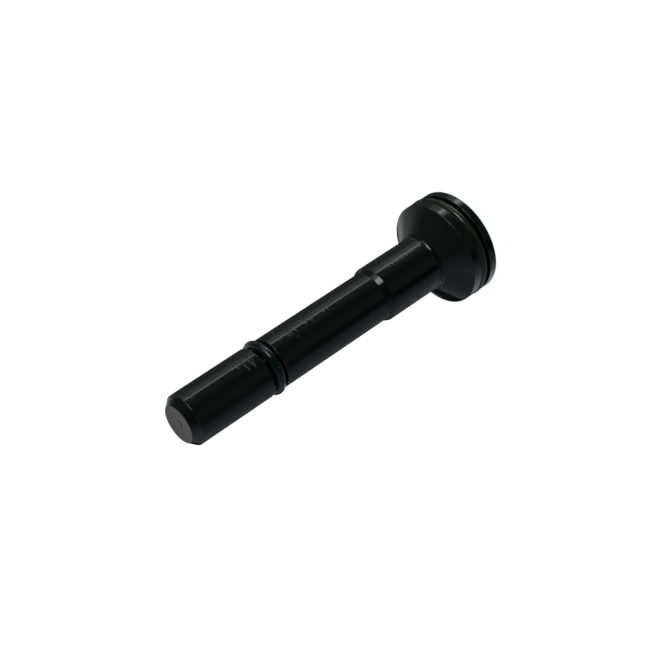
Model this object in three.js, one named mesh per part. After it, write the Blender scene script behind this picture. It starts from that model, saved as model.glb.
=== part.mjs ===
// Lock piston of a quick-change tool post: a turned steel piston with an O-ring in its head and one near its
// nose. Sizes are in millimetres. It stands on the flat back of its head, at z = 0, and its axis runs up +Z.
// From the back come the rear rim, head groove, front rim, cone, lock land, ramp, shank, nose groove and nose.
import * as THREE from "three";

// Driving dimensions: lengths along the axis. The shank takes up what the others leave of the overall length.
const LENGTH = 82.4;
const REAR_RIM = 2.0;
const FRONT_RIM = 2.2;
const LAND = 14.8; // lock land, from the end of the cone to the foot of its ramp
const NOSE = 21.0; // nose section, with its chamfer

// Diameters.
const HEAD_D = 24.8;
const SHANK_D = 11.9;
const NOSE_D = 12.0;
const LAND_STEP = 0.65; // how far the lock land stands out from the shank

// Slopes, as degrees between the surface and the axis.
const CONE_ANGLE = 52;
const RAMP_ANGLE = 26;
const CHAMFER_ANGLE = 42;
const CHAMFER = 1.55; // how far the nose's chamfer cuts in from its side

// O-rings: thickness, how far it stands out, play along its groove, and how much of that play is behind it.
const HEAD_RING = { section: 2.4, proud: 0.15, play: 0.6, behind: 0.8 };
const NOSE_RING = { section: 2.4, proud: 0.54, play: 1.5, behind: 0.35 };
const FLOOR_GAP = 0.05; // between a ring and the floor of its groove

// Rounded corners.
const NECK_FILLET = 1.6; // lock land into the cone
const RAMP_FILLET = 0.8;
const RAMP_ROUND = 0.9;
const RIM_ROUND = 0.25; // outer corners of the head
const EDGE_ROUND = 0.15; // every other outside corner
const GROOVE_FILLET = 0.3; // corners at the floor of a groove

// Facets.
const AROUND = 60;
const CORNER_STEPS = 3;
const RING_STEPS = 12;

const rad = THREE.MathUtils.degToRad;

// Floor radius of a ring's groove in a surface of the given radius, so that the ring stands out as it should.
function grooveFloor(surface, ring) {
  return surface + ring.proud - ring.section - FLOOR_GAP;
}

// The outline through the corners [radius, z, rounding], each rounded by a tangent arc of its own radius.
function rounded(corners) {
  const at = corners.map(([r, z]) => new THREE.Vector2(r, z));
  const points = [at[0]];
  for (let i = 1; i < at.length - 1; i++) {
    const rounding = corners[i][2];
    const back = at[i - 1].clone().sub(at[i]).normalize();
    const on = at[i + 1].clone().sub(at[i]).normalize();
    const half = Math.acos(back.dot(on)) / 2;
    const toCentre = back.clone().add(on).normalize().multiplyScalar(rounding / Math.sin(half));
    const start = back.clone().multiplyScalar(rounding / Math.tan(half)).sub(toCentre);
    const end = on.clone().multiplyScalar(rounding / Math.tan(half)).sub(toCentre);
    const centre = toCentre.add(at[i]);
    const clockwise = back.cross(on) > 0;
    const arc = new THREE.EllipseCurve(
      centre.x, centre.y, rounding, rounding, start.angle(), end.angle(), clockwise);
    points.push(...arc.getPoints(CORNER_STEPS));
  }
  points.push(at.at(-1));
  return points;
}

// A solid of revolution about +Z from an outline in (radius, z).
function turned(name, points, material) {
  const geometry = new THREE.LatheGeometry(points, AROUND);
  geometry.rotateX(Math.PI / 2);
  const mesh = new THREE.Mesh(geometry, material);
  mesh.name = name;
  return mesh;
}

// Heights of the features, up from the back of the head and then down from the nose.
const headR = HEAD_D / 2;
const shankR = SHANK_D / 2;
const landR = shankR + LAND_STEP;
const noseR = NOSE_D / 2;
const headGrooveZ = REAR_RIM;
const frontRimZ = headGrooveZ + HEAD_RING.section + HEAD_RING.play;
const coneZ = frontRimZ + FRONT_RIM;
const landZ = coneZ + (headR - landR) / Math.tan(rad(CONE_ANGLE));
const rampZ = landZ + LAND;
const shankZ = rampZ + LAND_STEP / Math.tan(rad(RAMP_ANGLE));
const chamferZ = LENGTH - CHAMFER / Math.tan(rad(CHAMFER_ANGLE));
const noseZ = LENGTH - NOSE;
const noseGrooveZ = noseZ - NOSE_RING.section - NOSE_RING.play;

// The piston: head, lock land, shank and nose turned from one bar.
function piston(material) {
  const headFloor = grooveFloor(headR, HEAD_RING);
  const noseFloor = grooveFloor(noseR, NOSE_RING);
  const outline = rounded([
    [0, 0],
    [headR, 0, RIM_ROUND],
    [headR, headGrooveZ, EDGE_ROUND],
    [headFloor, headGrooveZ, GROOVE_FILLET],
    [headFloor, frontRimZ, GROOVE_FILLET],
    [headR, frontRimZ, EDGE_ROUND],
    [headR, coneZ, RIM_ROUND],
    [landR, landZ, NECK_FILLET],
    [landR, rampZ, RAMP_ROUND],
    [shankR, shankZ, RAMP_FILLET],
    [shankR, noseGrooveZ, EDGE_ROUND],
    [noseFloor, noseGrooveZ, GROOVE_FILLET],
    [noseFloor, noseZ, GROOVE_FILLET],
    [noseR, noseZ, EDGE_ROUND],
    [noseR, chamferZ, EDGE_ROUND],
    [noseR - CHAMFER, LENGTH, EDGE_ROUND],
    [0, LENGTH],
  ]);
  return turned("piston", outline, material);
}

// An O-ring in the groove that starts at grooveZ in a surface of the given radius.
function oRing(name, ring, surface, grooveZ, material) {
  const radius = ring.section / 2;
  const circle = new THREE.EllipseCurve(surface + ring.proud - radius, 0, radius, radius);
  const points = circle.getPoints(RING_STEPS);
  points[RING_STEPS].copy(points[0]);
  const mesh = turned(name, points, material);
  mesh.position.z = grooveZ + ring.play * ring.behind + radius;
  return mesh;
}

const blackSteel = new THREE.MeshStandardMaterial({ color: 0x17191a, roughness: 0.35, metalness: 0.6 });
const nitrile = new THREE.MeshStandardMaterial({ color: 0x1a1e1f, roughness: 0.5, metalness: 0 });

const lockPiston = new THREE.Group();
lockPiston.add(piston(blackSteel));
lockPiston.add(oRing("head_o_ring", HEAD_RING, headR, headGrooveZ, nitrile));
lockPiston.add(oRing("nose_o_ring", NOSE_RING, noseR, noseGrooveZ, nitrile));

export default lockPiston;
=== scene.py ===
"""The looks of a quick-change lock piston: a turned black steel piston and its two O-rings."""
import math
from functools import reduce

import bpy
from mathutils import Matrix, Vector


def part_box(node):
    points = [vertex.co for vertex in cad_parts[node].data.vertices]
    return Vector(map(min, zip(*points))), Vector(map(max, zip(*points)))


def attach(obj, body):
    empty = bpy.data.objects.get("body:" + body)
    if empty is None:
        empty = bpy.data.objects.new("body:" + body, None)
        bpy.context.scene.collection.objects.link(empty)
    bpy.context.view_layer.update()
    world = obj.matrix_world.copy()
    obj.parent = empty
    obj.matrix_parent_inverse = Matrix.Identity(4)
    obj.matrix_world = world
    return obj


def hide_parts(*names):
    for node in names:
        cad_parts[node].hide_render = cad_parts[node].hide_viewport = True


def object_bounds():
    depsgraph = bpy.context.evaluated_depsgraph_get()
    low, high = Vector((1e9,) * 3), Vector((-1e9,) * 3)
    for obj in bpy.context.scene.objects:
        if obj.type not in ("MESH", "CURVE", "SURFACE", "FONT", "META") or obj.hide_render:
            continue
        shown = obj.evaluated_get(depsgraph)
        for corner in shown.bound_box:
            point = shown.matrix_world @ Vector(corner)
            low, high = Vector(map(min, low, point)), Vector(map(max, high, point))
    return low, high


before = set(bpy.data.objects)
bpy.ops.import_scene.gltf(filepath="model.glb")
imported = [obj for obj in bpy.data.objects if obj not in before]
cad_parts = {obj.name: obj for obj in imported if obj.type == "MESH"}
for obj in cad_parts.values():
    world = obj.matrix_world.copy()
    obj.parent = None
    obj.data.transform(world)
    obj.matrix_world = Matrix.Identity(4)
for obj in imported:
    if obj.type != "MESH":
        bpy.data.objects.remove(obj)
cad_low, cad_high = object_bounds()

MM = 0.001

# ---------------------------------------------------------------- sizes, with lengths in millimetres

_, piston_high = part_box("piston")
LENGTH = piston_high.z / MM
HEAD_R = piston_high.x / MM
SHANK_R = 5.95
NOSE_R = 6.0
LAND_STEP = 0.65  # how far the lock land stands out from the shank
REAR_RIM = 2.0
FRONT_RIM = 2.2
LAND = 14.8
NOSE = 21.0
CHAMFER = 1.55
CONE_ANGLE = math.radians(52)  # each slope's angle is between its surface and the axis
RAMP_ANGLE = math.radians(26)
CHAMFER_ANGLE = math.radians(42)
HEAD_GROOVE = 3.0
NOSE_GROOVE = 3.9
FLOOR_GAP = 0.05  # between a ring and the floor of its groove

NECK_FILLET = 1.6
RAMP_FILLET = 0.8
RAMP_ROUND = 0.9
RIM_ROUND = 0.25
EDGE_ROUND = 0.15
GROOVE_FILLET = 0.3

PIP_R = 0.95  # the mark that a facing tool leaves at the middle of each end
PIP_WALL = 0.24
PIP_ROUND = 0.05
DISH = 0.11  # how far an end falls from its edge to the foot of its pip
PIP_DROP = 0.2 * DISH  # how far the top of the pip is below the edge

AROUND = 256
ARC_STEP = math.radians(9)
LONGEST = 1.0  # length of the pieces that a stretch of the outline is divided into
EDGE_SUPPORT = 0.025  # a stretch's first and last pieces, which keep the shading of a flat flat
UNDIVIDED = 8 * EDGE_SUPPORT  # a stretch up to this length is left whole

# Knocks on the piston's edges: angle about the axis in degrees, height, reach and depth.
KNOCKS = (
    (-67, 57.5, 0.45, 0.10),
    (-18, 7.2, 0.40, 0.07),
    (75, 7.2, 0.35, 0.06),
    (150, 2.0, 0.45, 0.08),
    (-128, 0.0, 0.50, 0.10),
    (38, 61.4, 0.30, 0.05),
    (205, 80.7, 0.40, 0.07),
)
KNOCK_SPAN = 0.3  # how far round the axis a knock can reach, in radians

# Patches of heavier tool marks: middle height, reach along the axis and strength.
PATCHES = (
    (79.3, 1.6, 0.5),
    (65.0, 3.6, 1.0),
    (52.6, 3.2, 1.0),
    (46.6, 1.6, 0.6),
    (41.5, 1.8, 0.45),
    (19.0, 5.5, 0.35),
)
MARKED_R = 7.0  # the marks fade from this radius to the next one, as the head has few
UNMARKED_R = 9.0

# The rings.
SECTION_STEPS = 80
CROWDING = 0.4  # how much closer together the steps are at the parting line
FLASH = 0.03  # how far the ridge at the parting line of the mould stands out
FLASH_WIDTH = math.radians(5)
WAVE = 0.012  # depth of the waves of rubber that is stretched

# Depths of bump in the materials. The first is of the heaviest tool marks, and the shares are parts of it.
MARK_DEPTH = 0.04
FINE_SHARE = 0.012
FEED_SHARE = 0.06
SCRATCH_SHARE = 0.06
FILM_DEPTH = 0.012
GRAIN_DEPTH = 0.003
SWELL_DEPTH = 0.012
SPECK_DEPTH = 0.02


# ---------------------------------------------------------------- meshes

def rounded(corners):
    """The outline through corners (radius, z, rounding), each rounded by a tangent arc of its own radius.

    Each point comes with a 1 where it is on a small outside arc, which is where the finish wears.
    """
    at = [Vector(c[:2]) for c in corners]
    points = [(at[0], 0.0)]
    for before, corner, after, (_, _, rounding) in zip(at, at[1:], at[2:], corners[1:]):
        back = (before - corner).normalized()
        on = (after - corner).normalized()
        half = math.acos(back.dot(on)) / 2
        centre = corner + (back + on).normalized() * rounding / math.sin(half)
        start = corner + back * rounding / math.tan(half) - centre
        turn = math.copysign(math.pi - 2 * half, start.x * on.y - start.y * on.x)
        wear = 1.0 if turn > 0 and rounding <= 2 * EDGE_ROUND else 0.0
        steps = max(2, math.ceil(abs(turn) / ARC_STEP))
        for i in range(steps + 1):
            angle = turn * i / steps
            points.append((centre + Matrix.Rotation(angle, 2) @ start, wear))
    points.append((at[-1], 0.0))
    return points


def divided(points):
    """The same outline in pieces no longer than LONGEST, with a short piece at each end of a stretch."""
    result = [points[0]]
    for (a, _), (b, wear) in zip(points, points[1:]):
        length = (b - a).length
        if length > UNDIVIDED:
            parts = math.ceil(length / LONGEST)
            shares = [EDGE_SUPPORT / length]
            shares += [i / parts for i in range(1, parts)]
            shares.append(1 - EDGE_SUPPORT / length)
            result += [(a.lerp(b, share), 0.0) for share in shares]
        result.append((b, wear))
    return result


def new_object(name, vertices, faces, material):
    mesh = bpy.data.meshes.new(name)
    mesh.from_pydata([v * MM for v in vertices], [], faces)
    mesh.update()
    mesh.shade_smooth()
    mesh.materials.append(material)
    obj = bpy.data.objects.new(name, mesh)
    bpy.context.collection.objects.link(obj)
    return obj


def store(obj, name, values):
    obj.data.attributes.new(name, "FLOAT", "POINT").data.foreach_set("value", values)


def turned(name, outline, material):
    """A solid of revolution about Z from an outline that starts and ends on the axis."""
    points = [p for p, _ in outline]
    lengths = [0.0]
    for a, b in zip(points, points[1:]):
        lengths.append(lengths[-1] + (b - a).length)
    inner = range(1, len(points) - 1)
    vertices = [Vector((0, 0, points[0].y))]
    for i in inner:
        radius, z = points[i]
        for k in range(AROUND):
            angle = 2 * math.pi * k / AROUND
            vertices.append(Vector((radius * math.cos(angle), radius * math.sin(angle), z)))
    vertices.append(Vector((0, 0, points[-1].y)))
    faces = []
    for k in range(AROUND):
        nxt = (k + 1) % AROUND
        faces.append((0, 1 + nxt, 1 + k))
        for i in range(len(inner) - 1):
            low, high = 1 + i * AROUND, 1 + (i + 1) * AROUND
            faces.append((low + k, low + nxt, high + nxt, high + k))
        top = 1 + (len(inner) - 1) * AROUND
        faces.append((top + k, top + nxt, len(vertices) - 1))
    obj = new_object(name, vertices, faces, material)
    rings = [i for i in inner for _ in range(AROUND)]
    store(obj, "along", [0.0] + [lengths[i] * MM for i in rings] + [lengths[-1] * MM])
    store(obj, "wear", [0.0] + [outline[i][1] for i in rings] + [0.0])
    return obj


def knock(obj, degrees, height, reach, depth):
    """Push in the outermost edge that is near a place on the piston, as a knock would."""
    angle = math.radians(degrees - 90)
    near = []
    for v in obj.data.vertices:
        off = math.remainder(math.atan2(v.co.y, v.co.x) - angle, math.tau)
        if abs(v.co.z / MM - height) < 2 * reach and abs(off) < KNOCK_SPAN:
            near.append(v)
    edge = max(v.co.xy.length for v in near)
    place = Vector((edge * math.cos(angle), edge * math.sin(angle), height * MM))
    for v in near:
        closeness = 1 - (v.co - place).length / (reach * MM)
        if closeness > 0:
            push = depth * MM * closeness * closeness * (3 - 2 * closeness)
            v.co.xy *= 1 - push / v.co.xy.length


# ---------------------------------------------------------------- node graphs

class Graph:
    """Short ways to add and join the nodes of a material or a world."""

    def __init__(self, tree):
        self.tree = tree

    def add(self, kind, **inputs):
        node = self.tree.nodes.new("ShaderNode" + kind)
        for key, value in inputs.items():
            self.put(node.inputs[key.replace("_", " ")], value)
        return node

    def put(self, socket, value):
        if isinstance(value, bpy.types.NodeSocket):
            self.tree.links.new(value, socket)
        else:
            socket.default_value = value

    def operate(self, kind, operation, values):
        node = self.add(kind)
        node.operation = operation
        for socket, value in zip(node.inputs, values):
            self.put(socket, value)
        return node.outputs[0]

    def math(self, operation, *values):
        return self.operate("Math", operation, values)

    def vector(self, operation, *values):
        return self.operate("VectorMath", operation, values)

    def product(self, *values):
        return reduce(lambda a, b: self.math("MULTIPLY", a, b), values)

    def total(self, *values):
        return reduce(lambda a, b: self.math("ADD", a, b), values)

    def scaled(self, vector, factor):
        """The vector or colour, times a number."""
        node = self.add("VectorMath")
        node.operation = "SCALE"
        self.put(node.inputs["Vector"], vector)
        self.put(node.inputs["Scale"], factor)
        return node.outputs[0]

    def smooth(self, value, start, end, low=0.0, high=1.0):
        """A soft step from low to high as the value goes from start to end."""
        node = self.add("MapRange")
        node.interpolation_type = "SMOOTHSTEP"
        for socket, number in zip(node.inputs, (value, start, end, low, high)):
            self.put(socket, number)
        return node.outputs[0]

    def window(self, value, start, full, fall, end, height=1.0):
        """The height between full and fall, and 0 before start and after end."""
        return self.product(self.smooth(value, start, full), self.smooth(value, fall, end, height, 0.0))

    def noise(self, vector, scale=1.0, detail=2.0, roughness=0.5):
        node = self.add("TexNoise", Vector=vector, Scale=scale, Detail=detail, Roughness=roughness)
        return node.outputs["Fac"]

    def mixed(self, fac, a, b):
        node = self.add("Mix")
        node.data_type = "RGBA"
        self.put(node.inputs["Factor"], fac)
        colours = [s for s in node.inputs if s.type == "RGBA"]
        for socket, colour in zip(colours, (a, b)):
            self.put(socket, colour)
        return next(s for s in node.outputs if s.type == "RGBA")

    def place(self):
        return self.add("TexCoord").outputs["Object"]

    def stored(self, name):
        """A number that store() keeps at each vertex."""
        node = self.add("Attribute")
        node.attribute_name = name
        return node.outputs["Fac"]

    def bump(self, height, depth, over=None):
        """The shading of a height that is depth millimetres at 1, over that of another bump."""
        node = self.add("Bump", Strength=1.0, Distance=depth * MM, Height=height)
        if over is not None:
            self.put(node.inputs["Normal"], over)
        return node.outputs[0]


def new_material(name):
    material = bpy.data.materials.new(name)
    material.use_nodes = True
    return material, Graph(material.node_tree), material.node_tree.nodes["Principled BSDF"]


def grey(value):
    return (value, value, value, 1)


# ---------------------------------------------------------------- materials

OXIDE_DARK = (0.0058, 0.0072, 0.0068, 1)
OXIDE_PALE = (0.0095, 0.0109, 0.0104, 1)
OXIDE_ROUGH = (0.08, 0.13)
OXIDE_IOR = 1.5
MARK_ROUGH = 0.10  # how much rougher the steel is in a heavy mark
SCRATCH_ROUGH = 0.15
WORN_ROUGH = 0.25
WORN_MOST = 0.6  # how far the oxide is gone where it is most worn
WORN_METAL = 0.8
BARE_STEEL = (0.10, 0.10, 0.10, 1)

# Rubber of each ring: its colour where dry, its colour where oiled, and its roughness where oiled.
NOSE_RUBBER = ((0.006, 0.014, 0.016, 1), (0.003, 0.010, 0.013, 1), 0.07)
HEAD_RUBBER = ((0.024, 0.024, 0.020, 1), (0.016, 0.017, 0.014, 1), 0.13)
DRY_ROUGH = 0.12  # how much rougher dry rubber is
GRAIN_ROUGH = 0.10
RUBBER_IOR = 1.52
DUST = (0.22, 0.22, 0.20, 1)

FLOOR_COLOUR = grey(0.9)
FLOOR_ROUGH = 0.9
FLOOR_GLOW = 0.87


def wound(g, around, per_mm, seed):
    """Coordinates for marks that run round the axis.

    The first number says how fast they change round the axis, and the second how fast along the outline.
    """
    outward = g.vector("NORMALIZE", g.vector("MULTIPLY", g.place(), (1, 1, 0)))
    height = g.math("MULTIPLY_ADD", g.stored("along"), per_mm / MM, seed)
    up = g.add("CombineXYZ", Z=height).outputs[0]
    return g.vector("ADD", g.scaled(outward, around), up)


def tool_marks(g):
    """Where the turning tool left heavy marks: in patches along the stem, heaviest on its +X side."""
    x, y, z = g.add("SeparateXYZ", Vector=g.place()).outputs
    patches = []
    for middle, reach, strength in PATCHES:
        ends = [(middle + share * reach) * MM for share in (-1, -1 / 3, 1 / 3, 1)]
        patches.append(g.window(z, *ends, strength))
    radius = g.math("SQRT", g.total(g.product(x, x), g.product(y, y)))
    rubbed = g.smooth(g.math("DIVIDE", x, radius), -0.15, 0.25, 0.2, 1.0)
    on_stem = g.smooth(radius, MARKED_R * MM, UNMARKED_R * MM, 1.0, 0.05)
    deep = g.smooth(g.noise(wound(g, 0.35, 2.7, 40.0), detail=0.0), 0.48, 0.74)
    return g.product(deep, g.total(*patches), rubbed, on_stem)


def black_steel():
    """Turned steel with a glossy black oxide finish, a film of oil, tool marks and worn edges."""
    material, g, shader = new_material("black_steel")
    place = g.place()

    # The turning tool leaves fine lines and the waves of its feed all over, and heavier marks in patches.
    fine = g.noise(wound(g, 0.6, 7.0, 3.0), roughness=0.6)
    feed = g.noise(wound(g, 0.35, 2.2, 17.0), detail=1.0)
    marks = tool_marks(g)

    # Handling leaves small scratches, most of them along the axis, and the film of oil is patchy.
    blotch = g.noise(place, scale=260.0, detail=4.0, roughness=0.6)
    film = g.noise(place, scale=70.0)
    bend = g.scaled(g.add("TexNoise", Vector=place, Scale=90.0).outputs["Color"], 3.0)
    scratch_place = g.vector("ADD", g.vector("MULTIPLY", place, (5200, 5200, 420)), bend)
    scratch = g.smooth(g.noise(scratch_place, detail=1.0), 0.74, 0.80)

    lines = g.total(g.product(fine, FINE_SHARE), g.product(feed, FEED_SHARE),
                    g.product(marks, -1.0), g.product(scratch, -SCRATCH_SHARE))
    g.put(shader.inputs["Normal"], g.bump(film, FILM_DEPTH, over=g.bump(lines, MARK_DEPTH)))

    # The oxide wears off the outside edges in a broken line.
    broken = g.smooth(g.noise(place, scale=900.0, detail=3.0, roughness=0.65), 0.40, 0.62)
    worn = g.product(g.smooth(g.stored("wear"), 0.35, 1.0), broken, WORN_MOST)

    oxide = g.mixed(blotch, OXIDE_DARK, OXIDE_PALE)
    rough = g.total(g.smooth(blotch, 0.3, 0.7, *OXIDE_ROUGH), g.product(marks, MARK_ROUGH),
                    g.product(worn, WORN_ROUGH), g.product(scratch, SCRATCH_ROUGH))
    g.put(shader.inputs["Base Color"], g.mixed(worn, oxide, BARE_STEEL))
    g.put(shader.inputs["Roughness"], rough)
    g.put(shader.inputs["Metallic"], g.product(worn, WORN_METAL))
    shader.inputs["IOR"].default_value = OXIDE_IOR
    return material


def nitrile(name, dry, oiled, gloss):
    """Moulded black rubber, wet with oil in places, with a fine grain and a few specks of dust."""
    material, g, shader = new_material(name)
    place = g.place()
    grain = g.noise(place, scale=5200.0, detail=3.0, roughness=0.6)
    swell = g.noise(place, scale=520.0)
    oil = g.smooth(g.noise(place, scale=330.0, detail=3.0), 0.38, 0.62)
    cells = g.add("TexVoronoi", Vector=place, Scale=1300.0)
    chosen = g.smooth(g.add("SeparateColor", Color=cells.outputs["Color"]).outputs[0], 0.90, 0.92)
    speck = g.product(chosen, g.smooth(cells.outputs["Distance"], 0.08, 0.15, 1.0, 0.0))
    rough = g.total(g.product(grain, GRAIN_ROUGH), g.smooth(oil, 0.0, 1.0, gloss + DRY_ROUGH, gloss))
    g.put(shader.inputs["Base Color"], g.mixed(speck, g.mixed(oil, dry, oiled), DUST))
    g.put(shader.inputs["Roughness"], rough)
    swollen = g.bump(swell, SWELL_DEPTH, over=g.bump(grain, GRAIN_DEPTH))
    g.put(shader.inputs["Normal"], g.bump(speck, SPECK_DEPTH, over=swollen))
    shader.inputs["IOR"].default_value = RUBBER_IOR
    return material


def floor_material():
    material, _, shader = new_material("pale_floor")
    shader.inputs["Base Color"].default_value = FLOOR_COLOUR
    shader.inputs["Roughness"].default_value = FLOOR_ROUGH
    shader.inputs["Emission Color"].default_value = grey(1)
    shader.inputs["Emission Strength"].default_value = FLOOR_GLOW
    return material


# ---------------------------------------------------------------- pieces

def ring_size(node):
    """A ring's outer radius, thickness and middle height, from its CAD box, in millimetres."""
    low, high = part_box(node)
    return high.x / MM, (high.z - low.z) / MM, (high.z + low.z) / 2 / MM


def ring_inside(node):
    outer, section, _ = ring_size(node)
    return outer - section


def piston_outline():
    head_groove = REAR_RIM
    front_rim = head_groove + HEAD_GROOVE
    cone = front_rim + FRONT_RIM
    land_r = SHANK_R + LAND_STEP
    land = cone + (HEAD_R - land_r) / math.tan(CONE_ANGLE)
    ramp = land + LAND
    shank = ramp + LAND_STEP / math.tan(RAMP_ANGLE)
    chamfer = LENGTH - CHAMFER / math.tan(CHAMFER_ANGLE)
    nose = LENGTH - NOSE
    nose_groove = nose - NOSE_GROOVE
    head_floor = ring_inside("head_o_ring") - FLOOR_GAP
    nose_floor = ring_inside("nose_o_ring") - FLOOR_GAP
    return rounded([
        (0, PIP_DROP),
        (PIP_R, PIP_DROP, PIP_ROUND),
        (PIP_R + PIP_WALL, DISH, PIP_ROUND),
        (HEAD_R - 2 * RIM_ROUND, 0, PIP_ROUND),
        (HEAD_R, 0, RIM_ROUND),
        (HEAD_R, head_groove, EDGE_ROUND),
        (head_floor, head_groove, GROOVE_FILLET),
        (head_floor, front_rim, GROOVE_FILLET),
        (HEAD_R, front_rim, EDGE_ROUND),
        (HEAD_R, cone, RIM_ROUND),
        (land_r, land, NECK_FILLET),
        (land_r, ramp, RAMP_ROUND),
        (SHANK_R, shank, RAMP_FILLET),
        (SHANK_R, nose_groove, EDGE_ROUND),
        (nose_floor, nose_groove, GROOVE_FILLET),
        (nose_floor, nose, GROOVE_FILLET),
        (NOSE_R, nose, EDGE_ROUND),
        (NOSE_R, chamfer, 2 * EDGE_ROUND),
        (NOSE_R - CHAMFER, LENGTH, EDGE_ROUND),
        (PIP_R + PIP_WALL, LENGTH - DISH, PIP_ROUND),
        (PIP_R, LENGTH - PIP_DROP, PIP_ROUND),
        (0, LENGTH - PIP_DROP),
    ])


def make_piston(material):
    piston = turned("piston_turned", divided(piston_outline()), material)
    for place in KNOCKS:
        knock(piston, *place)
    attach(piston, "piston")
    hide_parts("piston")


def section_angle(step):
    """The angle of a step round a ring's section. The steps are closer together at the parting line."""
    even = 2 * math.pi * step / SECTION_STEPS
    return even - CROWDING * math.sin(2 * even)


def o_ring(name, node, body, material, waves):
    """A ring with the ridge of its mould's parting line, inside and outside, and with slight waves."""
    outer, section, middle = ring_size(node)
    half = section / 2
    vertices, faces = [], []
    for k in range(AROUND):
        turn = 2 * math.pi * k / AROUND
        wave = 0.5 + 0.5 * math.sin(waves * turn + 0.8 * math.sin(2 * turn))
        ridge = FLASH * (0.7 + 0.3 * math.sin(7 * turn))
        a, b = k * SECTION_STEPS, (k + 1) % AROUND * SECTION_STEPS
        for j in range(SECTION_STEPS):
            angle = section_angle(j)
            off = math.remainder(angle, math.pi)
            reach = half - FLASH - WAVE * wave + ridge * math.exp(-(off / FLASH_WIDTH) ** 2)
            r = outer - half + reach * math.cos(angle)
            z = middle + reach * math.sin(angle)
            vertices.append(Vector((r * math.cos(turn), r * math.sin(turn), z)))
            nxt = (j + 1) % SECTION_STEPS
            faces.append((a + j, b + j, b + nxt, a + nxt))
    ring = new_object(name, vertices, faces, material)
    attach(ring, body)
    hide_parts(node)


# ---------------------------------------------------------------- floor, light and camera

FLOOR_REACH = 4000  # millimetres from the middle to each side

# The room that the part sees, below and above its own level: the colour at each azimuth, which is in degrees
# from -Y towards +X.
LOW_ROOM = (
    (-180, (1.30, 1.30, 1.30)),
    (-174, (0.14, 0.15, 0.15)),
    (-150, (0.12, 0.125, 0.13)),
    (-130, (0.18, 0.185, 0.19)),
    (-90, (0.20, 0.213, 0.218)),
    (-70, (0.16, 0.168, 0.178)),
    (-59, (0.060, 0.066, 0.071)),
    (-50, (0.008, 0.010, 0.014)),
    (-41, (0.006, 0.009, 0.012)),
    (-31, (0.065, 0.072, 0.066)),
    (-10, (0.072, 0.080, 0.073)),
    (10, (0.038, 0.046, 0.042)),
    (30, (0.040, 0.046, 0.042)),
    (50, (0.11, 0.125, 0.12)),
    (100, (0.10, 0.12, 0.115)),
    (125, (0.08, 0.10, 0.095)),
    (150, (0.055, 0.065, 0.065)),
    (174, (0.09, 0.095, 0.095)),
    (180, (1.30, 1.30, 1.30)),
)
HIGH_ROOM = (
    (-180, (0.50, 0.51, 0.50)),
    (-163, (0.34, 0.34, 0.34)),
    (-150, (0.17, 0.17, 0.18)),
    (-120, (0.19, 0.195, 0.205)),
    (-90, (0.19, 0.20, 0.215)),
    (-70, (0.17, 0.18, 0.19)),
    (-50, (0.07, 0.07, 0.08)),
    (-30, (0.010, 0.012, 0.012)),
    (0, (0.008, 0.014, 0.012)),
    (30, (0.018, 0.024, 0.020)),
    (60, (0.075, 0.085, 0.080)),
    (95, (0.090, 0.098, 0.095)),
    (113, (0.105, 0.115, 0.115)),
    (125, (0.23, 0.24, 0.24)),
    (137, (0.43, 0.44, 0.43)),
    (150, (0.52, 0.53, 0.52)),
    (180, (0.50, 0.51, 0.50)),
)
ZENITH = (0.10, 0.105, 0.105, 1)
DARK_PLACE = (0.010, 0.012, 0.016, 1)
STRIP_GAIN = 5.0  # how much is added to a strip of the room near the floor, as a share of what is there

# Lights in the room. Each has the azimuths at which it starts, is full, falls and ends, the same for its
# elevations, and its strength.
LIGHTS = (
    ((66, 69.5, 72, 76), (-80, -60, -18, -7), 1.7),  # a tall light to the right and low down
    ((67, 74, 82, 110), (-80, -60, -18, -7), 0.48),  # its glow
    ((56, 64, 73, 82), (-80, -60, -36, -32.5), 1.5),  # its foot
    ((19, 28, 37, 53), (-1, 6, 19, 27), 5.5),  # a lamp above it, nearer the front
    ((30, 44, 52, 80), (-1, 6, 19, 27), 1.2),  # the lamp's glow
    ((-128, -120, -112, -104), (-23, -18, -13, -9), 0.7),  # weak panels: left, right and behind
    ((98, 105, 112, 122), (-23, -18, -13, -9), 0.6),
    ((148, 162, 172, 179), (-22, -14, -6, 3), 0.3),
    ((-64, -50, -44, -28), (-31, -24, -16, -8), 0.055),  # a faint fill to the left
)
LIGHT_COLOUR = (0.97, 1.0, 0.99)

# The camera: lens and sensor in millimetres, angles in degrees, and lengths in metres.
LENS = 81.6
SENSOR = 36
CAMERA_ELEVATION = 28.648
CAMERA_ROLL = -123.578
CAMERA_DISTANCE = 0.32047
AIM_ASIDE = 0.00043
CLIP_START = 0.01


def make_floor():
    far = FLOOR_REACH
    corners = [Vector(p) for p in ((-far, -far, 0), (far, -far, 0), (far, far, 0), (-far, far, 0))]
    floor = new_object("floor", corners, [(0, 1, 2, 3)], floor_material())
    floor.visible_glossy = False
    floor.visible_diffuse = False
    floor.visible_shadow = False


def around_room(g, turn, room):
    """A soft band of colour round the room."""
    node = g.add("ValToRGB", Fac=turn)
    ramp = node.color_ramp
    ramp.interpolation = "CARDINAL"
    while len(ramp.elements) < len(room):
        ramp.elements.new(0.5)
    for element, (azimuth, _) in zip(ramp.elements, room):
        element.position = azimuth / 360 + 0.5
    for element, (_, colour) in zip(ramp.elements, room):
        element.color = (*colour, 1)
    return node.outputs["Color"]


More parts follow.
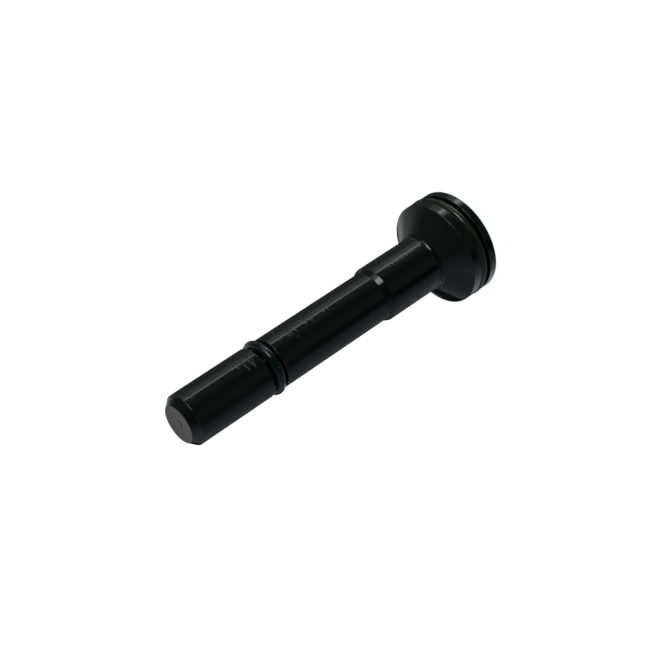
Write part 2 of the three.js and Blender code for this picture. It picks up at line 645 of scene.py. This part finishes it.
def room_seen(g):
    """The dim room that the part sees, as a colour for each direction."""
    x, y, z = g.add("SeparateXYZ", Vector=g.add("TexCoord").outputs["Generated"]).outputs
    azimuth = g.math("DEGREES", g.math("ARCTAN2", x, g.product(y, -1.0)))
    elevation = g.math("DEGREES", g.math("ARCSINE", z))
    turn = g.math("MULTIPLY_ADD", azimuth, 1 / 360, 0.5)

    # Below, a strip to the left and behind is brighter. The head's rims reflect it.
    strip = g.product(g.window(elevation, -41, -37.5, -35.5, -32.8), g.smooth(azimuth, -70, -150))
    low = g.scaled(around_room(g, turn, LOW_ROOM), g.math("MULTIPLY_ADD", strip, STRIP_GAIN, 1.0))

    # Above, the left is brighter and the right is dimmer, up to a line that falls towards the back.
    slant = g.math("MULTIPLY_ADD", g.math("ABSOLUTE", azimuth), 0.77, elevation)
    side = g.total(g.smooth(azimuth, -80, -100, 0.0, 0.9), g.smooth(azimuth, 95, 115, 0.0, -0.42))
    haze = g.product(g.smooth(slant, 122.5, 118), g.smooth(elevation, 0, 8), side)
    high = g.scaled(around_room(g, turn, HIGH_ROOM), g.total(haze, 1.0))

    room = g.mixed(g.smooth(elevation, -24, 6), low, high)
    room = g.mixed(g.smooth(elevation, 52, 80), room, ZENITH)

    # The dark place is behind and to the left, at about the part's level. The cone reflects it.
    dark = g.product(g.window(elevation, -22, -14, 1, 8), g.smooth(azimuth, -139, -153))
    room = g.mixed(dark, room, DARK_PLACE)

    lights = g.total(*(g.product(g.window(azimuth, *across), g.window(elevation, *up, strength))
                       for across, up, strength in LIGHTS))
    return g.vector("ADD", room, g.scaled(LIGHT_COLOUR, lights))


def make_world():
    """A pale surround for the camera, which the part sees as a dim room with lights."""
    world = bpy.data.worlds.new("surround")
    bpy.context.scene.world = world
    world.use_nodes = True
    g = Graph(world.node_tree)
    bright = world.node_tree.nodes["Background"]
    bright.inputs["Color"].default_value = grey(1)
    bright.inputs["Strength"].default_value = 1.0
    dim = g.add("Background", Color=room_seen(g), Strength=1.0)
    mix = g.add("MixShader", Fac=g.add("LightPath").outputs["Is Camera Ray"])
    g.put(mix.inputs[1], dim.outputs["Background"])
    g.put(mix.inputs[2], bright.outputs["Background"])
    g.put(world.node_tree.nodes["World Output"].inputs["Surface"], mix.outputs["Shader"])


def make_camera():
    camera = bpy.data.objects.new("camera", bpy.data.cameras.new("camera"))
    camera.data.lens = LENS
    camera.data.sensor_width = SENSOR
    camera.data.clip_start = CLIP_START
    elevation = math.radians(CAMERA_ELEVATION)
    back = Vector((0, -math.cos(elevation), math.sin(elevation)))
    roll = Matrix.Rotation(math.radians(CAMERA_ROLL), 3, "Z")
    turn = back.to_track_quat("Z", "Y").to_matrix() @ roll
    aim = Vector((AIM_ASIDE, 0, (cad_low.z + cad_high.z) / 2))
    camera.matrix_world = Matrix.Translation(aim + back * CAMERA_DISTANCE) @ turn.to_4x4()
    bpy.context.collection.objects.link(camera)
    bpy.context.scene.camera = camera


make_camera()
make_piston(black_steel())
o_ring("nose_ring", "nose_o_ring", "nose_ring", nitrile("nitrile_oiled", *NOSE_RUBBER), waves=5)
o_ring("head_ring", "head_o_ring", "head_ring", nitrile("nitrile_dry", *HEAD_RUBBER), waves=7)
make_floor()
make_world()
bpy.context.scene.view_settings.view_transform = "Standard"
